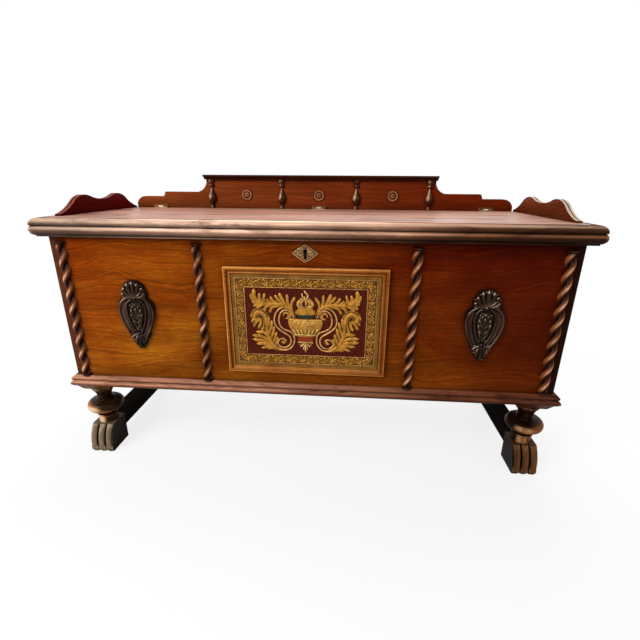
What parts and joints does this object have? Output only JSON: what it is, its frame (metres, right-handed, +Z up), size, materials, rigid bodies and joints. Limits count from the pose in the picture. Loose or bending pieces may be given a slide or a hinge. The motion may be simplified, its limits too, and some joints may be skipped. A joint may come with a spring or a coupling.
{
  "type": "cedar chest",
  "caption": "Lidded storage chest with rope-twist front columns, a framed carved panel, a moulded hinged lid, a stepped back gallery and a trestle base on turned bun legs.",
  "frame": {"origin": "on the floor, under the middle of the whole piece's bounding box", "axes": "+X to the chest's left-to-right as seen from the front, -Y to the front, +Z up"},
  "size_m": [1.168, 0.406, 0.6745],
  "materials": {
    "front_veneer": "figured veneer, satin lacquer",
    "back_wood": "plain sawn board",
    "cedar": "bare cedar",
    "lid_veneer": "figured veneer, polished lacquer",
    "lid_edge": "bronzed lacquer, worn",
    "gallery_veneer": "figured veneer, satin lacquer",
    "gallery_turnings": "dark lacquer",
    "twist_wood": "dark gloss lacquer",
    "frame_wood": "golden lacquer",
    "carved_wood": "gilded relief on a red-brown ground",
    "cartouche_wood": "dark bronzed",
    "base_edge": "bronzed lacquer, worn",
    "leg_wood": "bronzed lacquer, worn",
    "stretcher_wood": "dark stain",
    "brass": "aged brass",
    "steel": "bright steel"
  },
  "bodies": {
    "case": {"front_panel": "front_veneer", "left_end_panel": "front_veneer", "right_end_panel": "front_veneer", "back_panel": "back_wood", "base_rail_back": "back_wood", "floor_panel": "back_wood", "lining_front": "cedar", "lining_back": "cedar", "lining_left": "cedar", "lining_right": "cedar", "lining_floor": "cedar", "gallery_backboard": "gallery_veneer", "gallery_cornice": "gallery_veneer", "gallery_spindles": "gallery_turnings", "gallery_rosettes": "gallery_turnings", "twist_column_outer_left": "twist_wood", "twist_column_inner_left": "twist_wood", "twist_column_inner_right": "twist_wood", "twist_column_outer_right": "twist_wood", "panel_frame_top": "frame_wood", "panel_frame_bottom": "frame_wood", "panel_frame_left": "frame_wood", "panel_frame_right": "frame_wood", "carved_panel": "carved_wood", "cartouche_left": "cartouche_wood", "cartouche_right": "cartouche_wood", "base_moulding_front": "base_edge", "base_moulding_left": "base_edge", "base_moulding_right": "base_edge", "bearer_left": "leg_wood", "bearer_right": "leg_wood", "leg_front_left": "leg_wood", "leg_front_right": "leg_wood", "leg_back_left": "leg_wood", "leg_back_right": "leg_wood", "foot_front_left": "leg_wood", "foot_front_right": "leg_wood", "foot_back_left": "leg_wood", "foot_back_right": "leg_wood", "stretcher_left": "stretcher_wood", "stretcher_right": "stretcher_wood", "hinge_fixed_leaves": "brass", "hinge_pins": "brass", "hinge_screws_board": "brass", "escutcheon": "brass", "stay_guides": "brass", "lock_case": "steel"},
    "lid": {"lid_panel": "lid_veneer", "lid_moulding_front": "lid_edge", "lid_moulding_left": "lid_edge", "lid_moulding_right": "lid_edge", "side_gallery_left": "gallery_veneer", "side_gallery_right": "gallery_veneer", "hinge_lid_leaves": "brass", "hinge_screws_lid": "brass", "lid_stays": "brass", "lock_strike": "brass"},
    "bolt": {"lock_bolt": "steel"}
  },
  "joints": [
    {"name": "lid_hinge", "type": "hinge", "parent": "case", "child": "lid", "pos_m": [0, 0.1808, 0.5857], "axis": [-1, 0, 0], "range_deg": [0, 70]},
    {"name": "lock_bolt_slide", "type": "slide", "parent": "case", "child": "bolt", "axis": [0, 0, 1], "range_m": [0, 0.009]}
  ]
}
